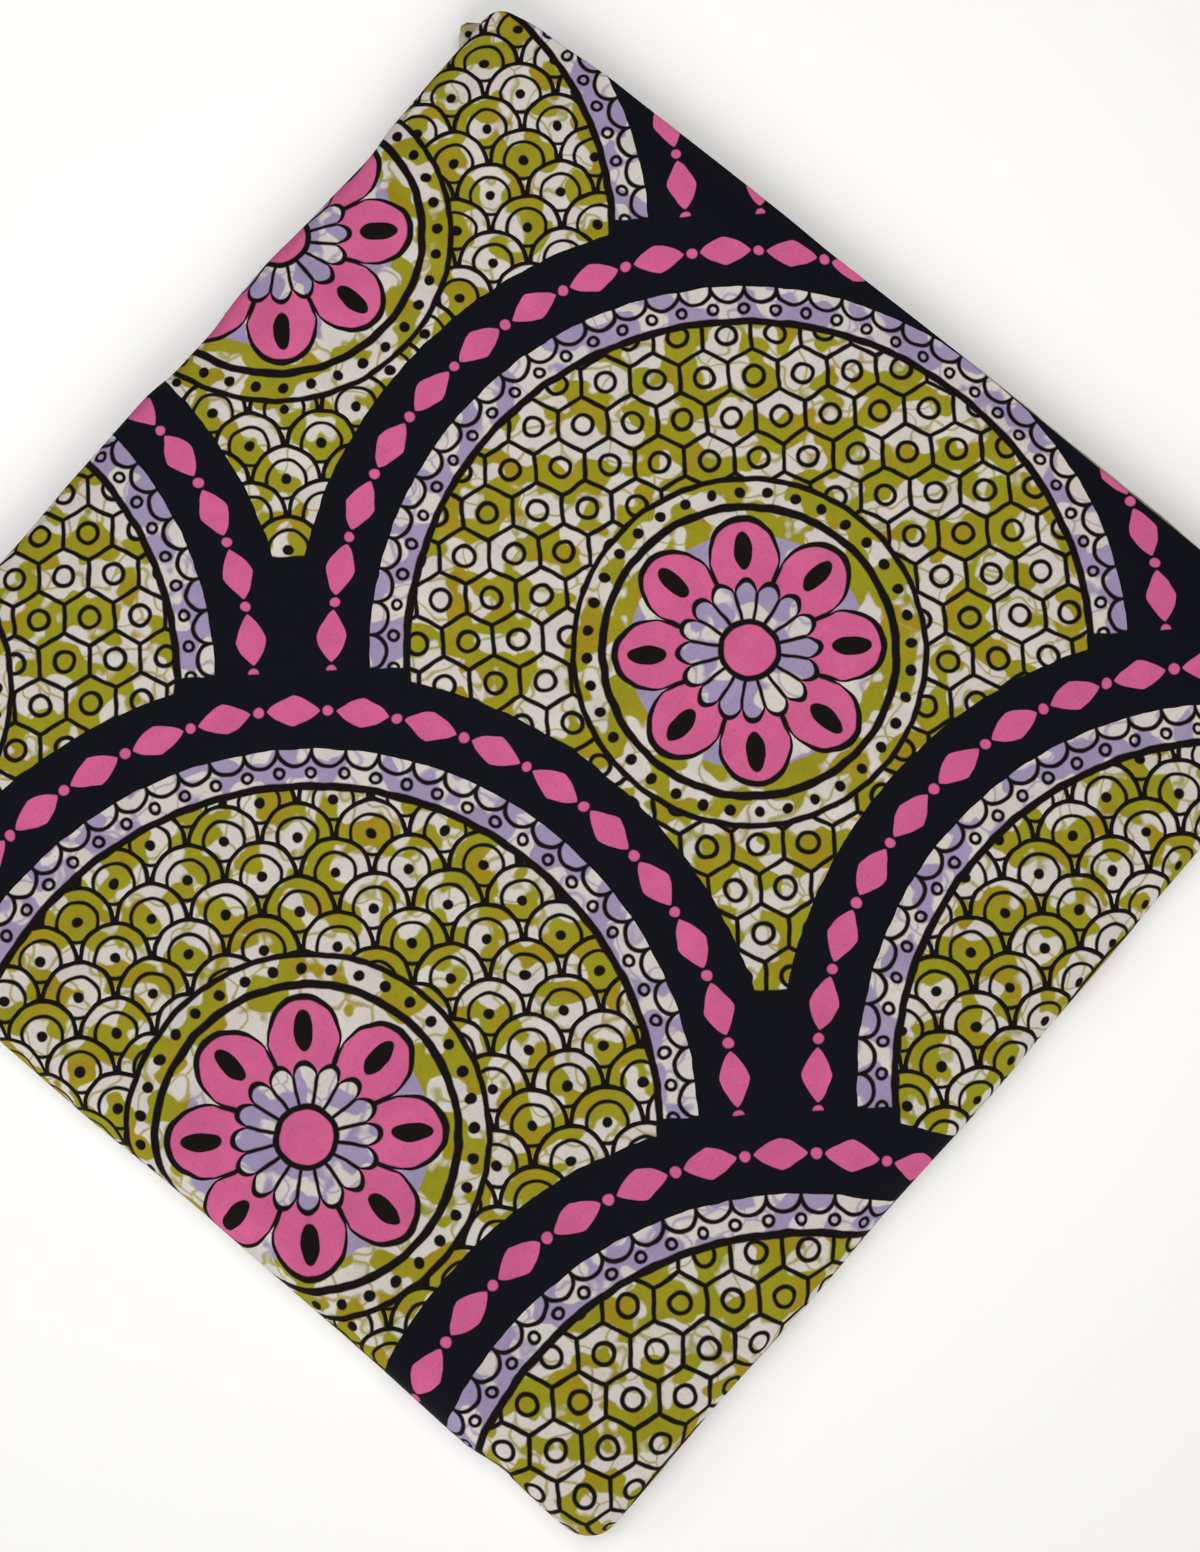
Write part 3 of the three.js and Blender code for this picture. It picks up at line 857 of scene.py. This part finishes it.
def loop_faces(rows, columns, closed_rows):
    """Quads of a grid that is closed round its columns, and maybe round its rows too."""
    index = np.arange(rows * columns).reshape(rows, columns)
    if closed_rows:
        index = np.concatenate([index, index[:1]])
    after = np.roll(index, -1, axis=1)
    return np.stack([index[:-1], after[:-1], after[1:], index[1:]], -1).reshape(-1, 4)


print("points round the section of a hidden ply:", len(stack_section()[0]))

# %% One ply of the stack
# Rows of a ply's profile: depth in the ply as a share of it, and place beyond the rim.
BEAD = [(0, -22), (0, -7), (0, -1.6), (0.03, -0.5), (0.17, -0.12), (0.5, 0), (0.83, -0.12),
        (0.97, -0.5), (1, -1.6), (1, -7), (1, -22)]
CUT = [(0, -22), (0, -7), (0, -0.9), (0.08, 0), (0.92, 0), (1, -0.9), (1, -7), (1, -22)]
REST_RIM = -0.8                           # the stack's rims lie inside the outer leaf's
PLY_FILLS = 0.93                          # how much of its share of the half a ply fills


def ply_ring(name, half_turn, count, profile):
    """A ring of one ply at the back of a half that has count of them."""
    loop, middle = stack_section()
    depth, beyond = np.array(profile).T
    share_of = depth * PLY_FILLS / count

    def at(inset):
        rows = loop[None] + (middle - loop)[None] * inset[:, None, None]
        return place(rows[..., 0], rows[..., 1], rows[..., 2], 1.0, half_turn,
                     (beyond + REST_RIM)[:, None])

    points, flat_v = at(share_of)
    following, _ = at(share_of + 1 / count)
    run = flat_u(loop[:, 3], loop[:, 4], points[..., 1])
    past_rim = np.where(depth > 0.5, 2 * beyond.max() - 2 * beyond, 0)
    uv = np.stack([run, flat_v + past_rim[:, None]], -1).reshape(-1, 2)
    rim = smooth(np.broadcast_to(beyond[:, None], run.shape), -12, -2)
    return mesh_object(name, points.reshape(-1, 3) + SHIFT,
                       loop_faces(*run.shape, closed_rows=True), uv,
                       {"to_next": (following - points).reshape(-1, 3) * MM,
                        "rim": rim.ravel(), "run": run.ravel() * MM})


print("rows across a folded ply and across a selvedge:", len(BEAD), len(CUT))

# %% Short names for geometry nodes
def new_tree(name, inputs):
    """A geometry tree with its group nodes and named inputs."""
    tree = bpy.data.node_groups.new(name, "GeometryNodeTree")
    sockets = [("Geometry", "INPUT", "NodeSocketGeometry"),
               *((key, "INPUT", kind) for key, kind in inputs.items()),
               ("Geometry", "OUTPUT", "NodeSocketGeometry")]
    for key, way, kind in sockets:
        tree.interface.new_socket(name=key, in_out=way, socket_type=kind)
    net = Net(tree)
    return net, net.node("NodeGroupInput").outputs


def named(net, name, kind="FLOAT"):
    made = net.node("GeometryNodeInputNamedAttribute", {"data_type": kind}, Name=name)
    return made.outputs["Attribute"]


def stored(net, geometry, name, value, kind="FLOAT2", domain="CORNER"):
    settings = {"data_type": kind, "domain": domain}
    return net.node("GeometryNodeStoreNamedAttribute", settings, Geometry=geometry,
                    Name=name, Value=value).outputs[0]


def realised(net, geometry):
    return net.node("GeometryNodeRealizeInstances", Geometry=geometry).outputs[0]


def moved(net, geometry, offset):
    return net.node("GeometryNodeSetPosition", Geometry=geometry, Offset=offset).outputs[0]


def finish_tree(net, geometry, material):
    dressed = net.node("GeometryNodeSetMaterial", Geometry=realised(net, geometry),
                       Material=material)
    net.node("NodeGroupOutput", Geometry=dressed.outputs[0])


print("helpers:", *(made.__name__ for made in (named, stored, realised, moved)))


# %% Nodes that nest the plies
RIPPLE, PLIES_APART = 2.2, 37.3           # size, and place in the noise of each next ply


def nesting_tree():
    """Copies a ring inwards, with ripples and steps along its rim."""
    net, given = new_tree("nest_plies", {
        "Plies": "NodeSocketInt", "Unevenness": "NodeSocketFloat",
        "Slip": "NodeSocketVector", "Seed": "NodeSocketFloat",
        "Cloth": "NodeSocketMaterial"})
    ring = net.node("GeometryNodeGeometryToInstance", _0=given["Geometry"]).outputs[0]
    copies = net.node("GeometryNodeDuplicateElements", {"domain": "INSTANCE"},
                      Geometry=ring, Amount=given["Plies"])
    rings = realised(net, stored(net, copies.outputs["Geometry"], "ply",
                                 copies.outputs["Duplicate Index"], "FLOAT", "INSTANCE"))
    ply = Value(net, named(net, "ply"))
    inwards = net.vector("SCALE", named(net, "to_next", "FLOAT_VECTOR"), Scale=ply)
    spot = net.xyz(Value(net, named(net, "run")) * (1 / MM),
                   (ply + Value(net, given["Seed"])) * PLIES_APART)
    ripple = net.noise(spot, 0.03, 3.0, 0.6)
    stagger = Value(net, net.node("FunctionNodeRandomValue", {"data_type": "FLOAT"},
                                  ID=ply, Seed=given["Seed"]).outputs[1])
    back = (((ripple - 0.5) * RIPPLE + stagger - 0.5) * Value(net, named(net, "rim"))
            * Value(net, given["Unevenness"]))
    uneven = moved(net, rings, net.vector("ADD", inwards, net.xyz(y=back)))
    slip = net.vector("SCALE", given["Slip"], Scale=ply)
    mapped = net.vector("ADD", named(net, UV_NAME, "FLOAT_VECTOR"), slip)
    finish_tree(net, stored(net, uneven, UV_NAME, mapped), given["Cloth"])
    return net.tree


NESTING = nesting_tree()
print("nodes that nest the plies:", len(NESTING.nodes))


# %% Nest the plies of both halves
def apply_tree(piece, tree, values):
    """Runs a tree on a piece and keeps the result as its plain mesh."""
    modifier = piece.modifiers.new(tree.name, "NODES")
    modifier.node_group = tree
    for item in tree.interface.items_tree:
        if item.in_out == "INPUT" and item.name in values:
            modifier[item.identifier] = values[item.name]
    bpy.context.view_layer.update()
    ready = piece.evaluated_get(bpy.context.evaluated_depsgraph_get())
    mesh = bpy.data.meshes.new_from_object(ready)
    piece.modifiers.clear()
    piece.data = mesh
    for extra in ("to_next", "rim", "run", "ply", "away", "root"):
        if extra in mesh.attributes:
            mesh.attributes.remove(mesh.attributes[extra])
    print(f"{piece.name}: {sum(len(p.vertices) - 2 for p in mesh.polygons)} triangles, "
          f"maps {mesh.uv_layers.keys()}")
    return piece


folds = apply_tree(
    ply_ring("folded_plies", 0.0, 6, BEAD), NESTING,
    {"Plies": 6, "Unevenness": 0.9 * MM, "Slip": (0.565, 0, 0), "Seed": 4.0,
     "Cloth": PRINT})
selvedges = apply_tree(
    ply_ring("selvedge_plies", math.pi, 11, CUT), NESTING,
    {"Plies": 11, "Unevenness": 1.3 * MM, "Slip": (0.283, 0, 0), "Seed": 9.0,
     "Cloth": SELVEDGE})

# %% [markdown]
# ## The rest of the stack
#
# Behind those edges nothing shows but the two narrow slots at the ends of the crease, so
# the remaining plies are one plain core on the same section. It starts a little inside
# the rims, which keeps the edges of the plies free.

# %% Build the core of the stack
CORE_INSIDE = 14.0                        # where the core starts, in from the back
CORE_SIZE = 0.985                         # a little smaller than the section of the plies


def stack_core():
    loop, _ = stack_section()
    core_share, core_turn = book_stops(upper=30, spine=16, lower=20)
    beyond = np.where(core_share > 0.9, -CORE_INSIDE * smooth(core_share, 0.9, 1), 0)
    points, flat_v = place(loop[:, 0], loop[:, 1] * CORE_SIZE, loop[:, 2] * CORE_SIZE,
                           core_share, core_turn, beyond)
    run = flat_u(loop[:, 3], loop[:, 4], points[..., 1])
    rows, columns = run.shape
    half = columns // 2
    cap = np.arange(half - 1)
    caps = np.stack([cap, cap + 1, columns - 2 - cap, columns - 1 - cap], -1)
    faces = np.concatenate([loop_faces(rows, columns, closed_rows=False), caps,
                            caps[:, ::-1] + (rows - 1) * columns])
    piece = mesh_object("stack_core", points.reshape(-1, 3) + SHIFT, faces,
                        np.stack([run, flat_v], -1).reshape(-1, 2))
    piece.data.materials.append(PRINT)
    return piece


core = stack_core()

# %% [markdown]
# ## The selvedge leaf
#
# Between the halves lies one more leaf whose unprinted selvedge stands a little out of
# the back, and whose corner is turned out at the left. It is a thin flat sheet: its sides
# follow the parcel's, and three short tables say how far it shows. Its free edge is given
# a slight wave, because a selvedge is woven tighter than the cloth beside it.

# %% Build the selvedge leaf
SHEET = 0.5
LEAF_FRONT, LEAF_SIDE = -127.0, 1.4
SELVEDGE_PEEK = [(-142, -1.2), (-52, -0.6), (-34, 1.2), (30, 2.3), (70, 2.6), (146, 1.6)]
TURNED_CORNER = [  # how far the corner stands out of the left end: y, out
    (129.6, -1.4), (131.6, 1.6), (134.4, 3.7), (136.7, 4.9), (138.6, 4.4), (140.4, 2.9),
    (142.0, 0.4), (143.4, -1.4)]
EDGE_WAVER, EDGE_LIFT = 0.25, 0.35        # how uneven the free edge is, along and up


def selvedge_leaf():
    a = spread(90, 0.35)[None, :]
    b = np.r_[np.linspace(0, 0.9, 16)[:-1], np.linspace(0.9, 1, 40)][:, None]
    low, high = along(LEFT_EDGE, BACK_Y), along(RIGHT_EDGE, BACK_Y)
    guess = low + (high - low) * a
    back = (back_edge(guess) + along(SELVEDGE_PEEK, guess)
            + EDGE_WAVER * waver(guess, seed=21))
    y = LEAF_FRONT + (back - LEAF_FRONT) * b
    left = along(LEFT_EDGE, y) - along(TURNED_CORNER, y)
    right = along(RIGHT_EDGE, y) - LEAF_SIDE
    x = left + (right - left) * a
    free = smooth(y, back_edge(x) - 1.5, back_edge(x) + 1.5)
    free = np.maximum(free, smooth(along(LEFT_EDGE, y) - x, -1, 3))
    z = SPINE_RADIUS + SHEET / 2 + EDGE_LIFT * free * waver(x + 2 * y, seed=8)
    points = np.stack([x, y, z], -1)
    uv = np.stack([x, y], -1).reshape(-1, 2)
    rows, columns = x.shape
    piece = mesh_object(
        "selvedge_sheet",
        np.concatenate([points.reshape(-1, 3),
                        (points - [0, 0, SHEET]).reshape(-1, 3)]) + SHIFT,
        shell_faces(rows, columns), np.concatenate([uv, uv]))
    piece.data.materials.append(SELVEDGE)
    return piece


sheet = selvedge_leaf()

# %% [markdown]
# ## Loose threads
#
# The cloth was torn off the bolt and never hemmed, so short threads hang out of the cut
# edge at the left end. Geometry Nodes set them along a line that follows the edge: each
# is a thin three-sided cone that leans away from the cloth at random, gets its own length
# and is bent a little by noise. A thread takes the print's colour at its root.

# %% Nodes for a thread on each point of a line
BEND = 0.9 * MM                           # how far noise bends a thread, over all


def thread_tree():
    net, given = new_tree("loose_threads", {
        "Threads": "NodeSocketInt", "Longest": "NodeSocketFloat",
        "Thickness": "NodeSocketFloat", "Seed": "NodeSocketInt",
        "Cloth": "NodeSocketMaterial"})
    edge = net.node("GeometryNodeMeshToCurve", _0=given["Geometry"]).outputs[0]
    roots = net.node("GeometryNodeCurveToPoints", {"mode": "COUNT"}, Curve=edge,
                     Count=given["Threads"]).outputs["Points"]
    thickness = Value(net, given["Thickness"])
    thread = net.node("GeometryNodeMeshCone", {"fill_type": "NONE"}, Vertices=3,
                      Side_Segments=4, Radius_Top=0.2 * thickness,
                      Radius_Bottom=0.5 * thickness,
                      Depth=given["Longest"]).outputs["Mesh"]

    def chance(kind, low, high, shift):
        """A random value or vector for each thread."""
        first, out = (0, 0) if kind == "FLOAT_VECTOR" else (2, 1)
        made = net.node("FunctionNodeRandomValue", {"data_type": kind},
                        Seed=net.math("ADD", given["Seed"], shift))
        for socket, limit in zip(made.inputs[first:], (low, high)):
            socket.default_value = limit
        return made.outputs[out]

    lean = net.vector("ADD", named(net, "away", "FLOAT_VECTOR"),
                      chance("FLOAT_VECTOR", (-0.9, -0.8, -0.6), (0.1, 0.8, 0.6), 1))
    turned = net.node("FunctionNodeAlignRotationToVector", {"axis": "Z"},
                      Vector=lean).outputs[0]
    length = Value(net, chance("FLOAT", 0.2, 1.0, 2)) ** 1.6
    threads = realised(net, net.node("GeometryNodeInstanceOnPoints", Points=roots,
                                     Instance=thread, Rotation=turned,
                                     Scale=net.xyz(1.0, 1.0, length)).outputs[0])
    here = net.node("GeometryNodeInputPosition").outputs[0]
    bend = net.vector("MULTIPLY_ADD", net.wander(here, 420.0, dimensions="3D"),
                      (BEND, BEND, BEND), (-BEND / 2, -BEND / 2, -BEND / 2))
    mapped = stored(net, moved(net, threads, bend), UV_NAME,
                    named(net, "root", "FLOAT_VECTOR"))
    finish_tree(net, mapped, given["Cloth"])
    return net.tree


THREADING = thread_tree()
print("nodes that set the threads:", len(THREADING.nodes))


# %% Set threads along the cut edge
def cut_line(name):
    """The cut edge as a line, with the way out of the cloth and its place on the print."""
    edge = inner_grid[1:, 0] * 0.4 + outer_grid[1:, 0] * 0.6
    away = outer_grid[1:, 0] - outer_grid[1:, 1]
    away = away / np.linalg.norm(away, axis=-1, keepdims=True) + [-0.45, 0, 0]
    root = np.c_[leaf_u[:, 0], leaf_v[:, 0], 0 * leaf_v[:, 0]] * MM
    mesh = bpy.data.meshes.new(name)
    mesh.from_pydata(((edge + SHIFT) * MM).tolist(),
                     [(i, i + 1) for i in range(len(edge) - 1)], [])
    for key, values in (("away", away), ("root", root)):
        mesh.attributes.new(key, "FLOAT_VECTOR", "POINT").data.foreach_set(
            "vector", values.ravel())
    return in_scene(name, mesh)


threads = apply_tree(cut_line("cut_threads"), THREADING, {
    "Threads": 420, "Longest": 2.6 * MM, "Thickness": 0.16 * MM, "Seed": 5, "Cloth": PRINT})

# %% [markdown]
# ## Stage, light and camera
#
# The parcel lies on a plain pale floor. Soft low light comes in from far off at the front
# right, so that the spine and the right end are bright where they round away and the back
# and the left end fall off. A cool window stands at the front left, a small light hangs
# close above the middle and a faint sky fills the rest. A camera that sees the sky itself
# gets it pale, which lights nothing. The camera looks down from almost overhead, turned
# so that the parcel's corners point up, down and sideways.

# %% Floor
FLOOR_HALF, FLOOR_DROP = 4.0, 0.0001      # in metres; just below the cloth
FLOOR_GREY, FLOOR_GLOW = 0.96, 0.09

floor_mesh = bpy.data.meshes.new("floor")
floor_mesh.from_pydata([(x * FLOOR_HALF, y * FLOOR_HALF, -FLOOR_DROP)
                        for x, y in ((-1, -1), (1, -1), (1, 1), (-1, 1))],
                       [], [(0, 1, 2, 3)])
floor = in_scene("floor", floor_mesh)
floor_material, floor_net = new_net("pale_floor")
floor_shader = floor_net.node(
    "ShaderNodeBsdfPrincipled", Base_Color=(FLOOR_GREY, FLOOR_GREY, FLOOR_GREY, 1),
    Roughness=0.9, Emission_Color=(1, 1, 1, 1), Emission_Strength=FLOOR_GLOW)
floor_net.node("ShaderNodeOutputMaterial", Surface=floor_shader.outputs[0])
floor.data.materials.append(floor_material)
print("floor of", 2 * FLOOR_HALF, "m")

# %% Lights and sky
LIGHTS = [  # name, kind, place in metres, power, colour, width; all face the parcel
    ("far_window", "SUN", (0.70, -0.70, 0.62), 2.12, (1.0, 0.99, 0.975), 0.6),
    ("window", "AREA", (-1.1, -0.72, 1.3), 7.44, (0.9, 0.95, 1.0), 1.0),
    ("ceiling", "AREA", (-0.03, 0.04, 0.6), 1.734, (1.0, 0.98, 0.95), 0.35)]
SKY_COLOUR, SKY_LIGHT, SKY_SEEN = (1.0, 0.975, 0.94, 1), 0.08, 0.8

for name, kind, stands_at, power, colour, width in LIGHTS:
    lamp = bpy.data.lights.new(name, kind)
    lamp.energy, lamp.color = power, colour
    setattr(lamp, "angle" if kind == "SUN" else "size", width)
    holder = in_scene(name, lamp)
    holder.location = stands_at
    holder.rotation_mode = "QUATERNION"
    holder.rotation_quaternion = Vector(stands_at).to_track_quat("Z", "Y")
world = bpy.data.worlds.new("soft_room")
world.use_nodes = True
sky_net, sky = Net(world.node_tree), world.node_tree.nodes["Background"]
seen = Value(sky_net, sky_net.node("ShaderNodeLightPath").outputs["Is Camera Ray"])
sky_net.feed(sky.inputs["Color"], SKY_COLOUR)
sky_net.feed(sky.inputs["Strength"], SKY_LIGHT + (SKY_SEEN - SKY_LIGHT) * seen)
bpy.context.scene.world = world
bpy.context.scene.view_settings.view_transform = "Standard"
print("lights:", [row[0] for row in LIGHTS])

# %% Camera
CAMERA_TURN, CAMERA_HEIGHT, CAMERA_DISTANCE = 40.11, 82.58, 520.0
CAMERA_TARGET = np.array([14.35, 0.98, SPINE_RADIUS])
FOCAL_PIXELS, LONG_SIDE, SENSOR = 2000.0, 1552.0, 36.0

turn_angle, height_angle = math.radians(CAMERA_TURN), math.radians(CAMERA_HEIGHT)
back = np.array([math.sin(turn_angle) * math.cos(height_angle),
                 -math.cos(turn_angle) * math.cos(height_angle), math.sin(height_angle)])
right = np.array([math.cos(turn_angle), math.sin(turn_angle), 0])
spot = (CAMERA_TARGET + back * CAMERA_DISTANCE) * MM
camera_data = bpy.data.cameras.new("camera")
camera_data.sensor_width = SENSOR
camera_data.lens = FOCAL_PIXELS / LONG_SIDE * SENSOR
camera = in_scene("camera", camera_data)
axes = np.c_[right, np.cross(back, right), back, spot]
camera.matrix_world = Matrix([*axes.tolist(), [0, 0, 0, 1]])
bpy.context.scene.camera = camera
print("camera at", spot.round(3), "m with a lens of", round(camera_data.lens, 1), "mm")

# %% [markdown]
# ## Joining the scene to the frame
#
# Every piece rides on the part's one body. The outer leaf and the selvedge leaf each
# replace their solid. The plies and the core together replace the solid of the rolled up
# layers, so they are joined into one mesh first.

# %% Join, ride and hide the solids
def joined(name, pieces):
    """One mesh from several pieces, with their materials and maps kept."""
    with bpy.context.temp_override(active_object=pieces[0],
                                   selected_editable_objects=pieces):
        bpy.ops.object.join()
    pieces[0].name = name
    return pieces[0]


stack = joined("inner_stack", [core, folds, selvedges])
for piece, node, slot in ((outer_leaf, "outer_leaf", "wax_print_face"),
                          (stack, "inner_leaves", "folded_layers"),
                          (sheet, "selvedge_leaf", "selvedge"),
                          (threads, None, "wax_print_face")):
    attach(piece, "root")
    if node:
        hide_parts(node)
